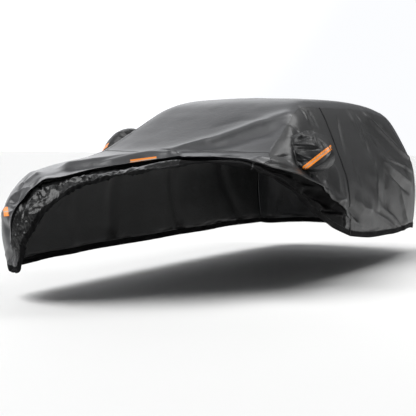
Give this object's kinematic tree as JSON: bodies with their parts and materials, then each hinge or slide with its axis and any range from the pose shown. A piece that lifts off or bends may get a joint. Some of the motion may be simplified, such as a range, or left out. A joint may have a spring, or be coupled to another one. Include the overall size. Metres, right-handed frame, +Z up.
{
  "type": "car cover",
  "caption": "Fitted car cover, hollow and draped, with its front pulled up from one corner, mirror pockets, a side zip and reflective strips.",
  "frame": {"origin": "underside of the cover's roof at its middle, where the cover rests on what holds it up", "axes": "+Y from the cover's front to its tail, +Z up, +X to the side with the zip"},
  "size_m": [2.0913, 4.6939, 1.2835],
  "materials": {
    "top_cloth": "satin",
    "side_cloth": "satin",
    "pocket_cloth": "satin",
    "zip_tape": "matte",
    "reflective_tape": "gloss"
  },
  "bodies": {
    "root": {"bonnet_panel": "top_cloth", "roof_panel": "top_cloth", "tail_panel": "top_cloth", "left_side_front": "side_cloth", "left_side_rear": "side_cloth", "right_side": "side_cloth", "mirror_pocket_left": "pocket_cloth", "mirror_pocket_right": "pocket_cloth", "zip": "zip_tape", "strip_front": "reflective_tape", "strip_corner": "reflective_tape", "strip_mirror_left": "reflective_tape", "strip_mirror_right": "reflective_tape"}
  },
  "joints": []
}
